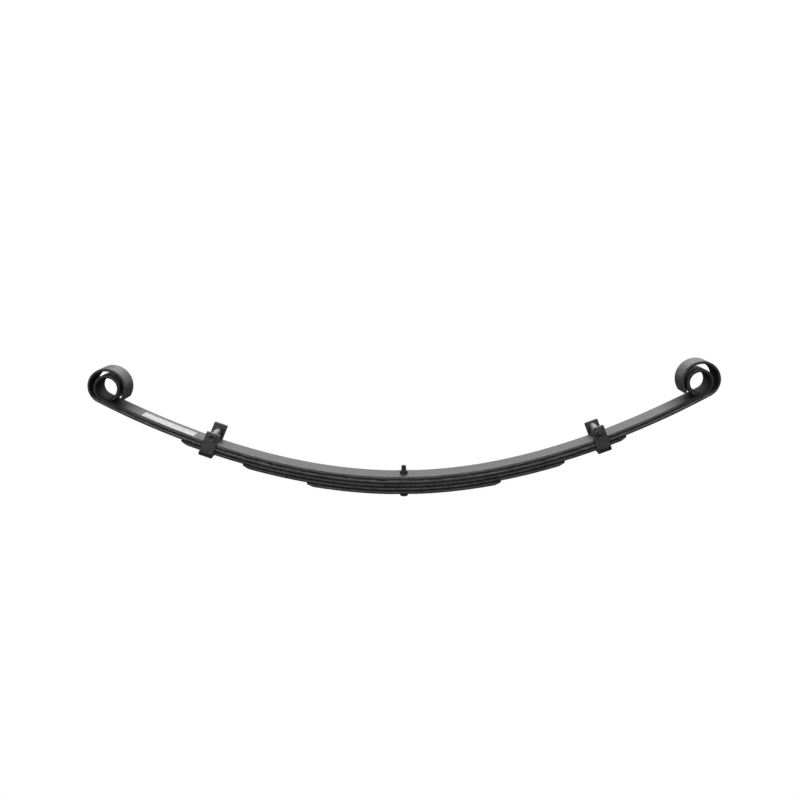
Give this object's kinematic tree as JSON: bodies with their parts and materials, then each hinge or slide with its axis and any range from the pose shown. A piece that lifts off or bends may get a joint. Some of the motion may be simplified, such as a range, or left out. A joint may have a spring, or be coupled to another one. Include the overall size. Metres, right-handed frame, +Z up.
{
  "type": "leaf spring",
  "caption": "Multi-leaf semi-elliptic spring with rolled eyes, a second leaf wrapped round them, riveted bolt clips and a centre bolt.",
  "frame": {"origin": "centre of the axle seat: the underside of the shortest leaf on the centre bolt's axis", "axes": "+X along the spring towards its right eye, +Y across the leaves, +Z up from the axle seat towards the eyes"},
  "size_m": [1.1567, 0.1018, 0.2521],
  "materials": {
    "leaf_paint": "satin charcoal paint on spring steel",
    "clip_paint": "satin black paint",
    "dark_fastener": "dark phosphate and oil",
    "zinc_tube": "pale zinc plate",
    "label_stock": "plain pale sticker"
  },
  "bodies": {
    "middle": {"main_leaf_centre": "leaf_paint", "wrapper_leaf_centre": "leaf_paint", "third_leaf_centre": "leaf_paint", "fourth_leaf_centre": "leaf_paint", "fifth_leaf": "leaf_paint", "centre_bolt": "dark_fastener", "centre_nut": "dark_fastener"},
    "left_end": {"main_leaf_left": "leaf_paint", "wrapper_leaf_left": "leaf_paint", "third_leaf_left": "leaf_paint", "fourth_leaf_left": "leaf_paint", "left_clip_strap": "clip_paint", "left_clip_rivet": "clip_paint", "left_clip_bolt": "dark_fastener", "left_clip_nut": "dark_fastener", "left_clip_spacer": "zinc_tube", "label": "label_stock"},
    "right_end": {"main_leaf_right": "leaf_paint", "wrapper_leaf_right": "leaf_paint", "third_leaf_right": "leaf_paint", "fourth_leaf_right": "leaf_paint", "right_clip_strap": "clip_paint", "right_clip_rivet": "clip_paint", "right_clip_bolt": "dark_fastener", "right_clip_nut": "dark_fastener", "right_clip_spacer": "zinc_tube"}
  },
  "joints": [
    {"name": "left_flex", "type": "hinge", "parent": "middle", "child": "left_end", "pos_m": [-0.1939, 0, 0.0267], "axis": [0, -1, 0], "range_deg": [-3, 17], "stiffness_Nm_per_rad": 3750},
    {"name": "right_flex", "type": "hinge", "parent": "middle", "child": "right_end", "pos_m": [0.1939, 0, 0.0267], "axis": [0, 1, 0], "range_deg": [-3, 17], "stiffness_Nm_per_rad": 3750}
  ]
}
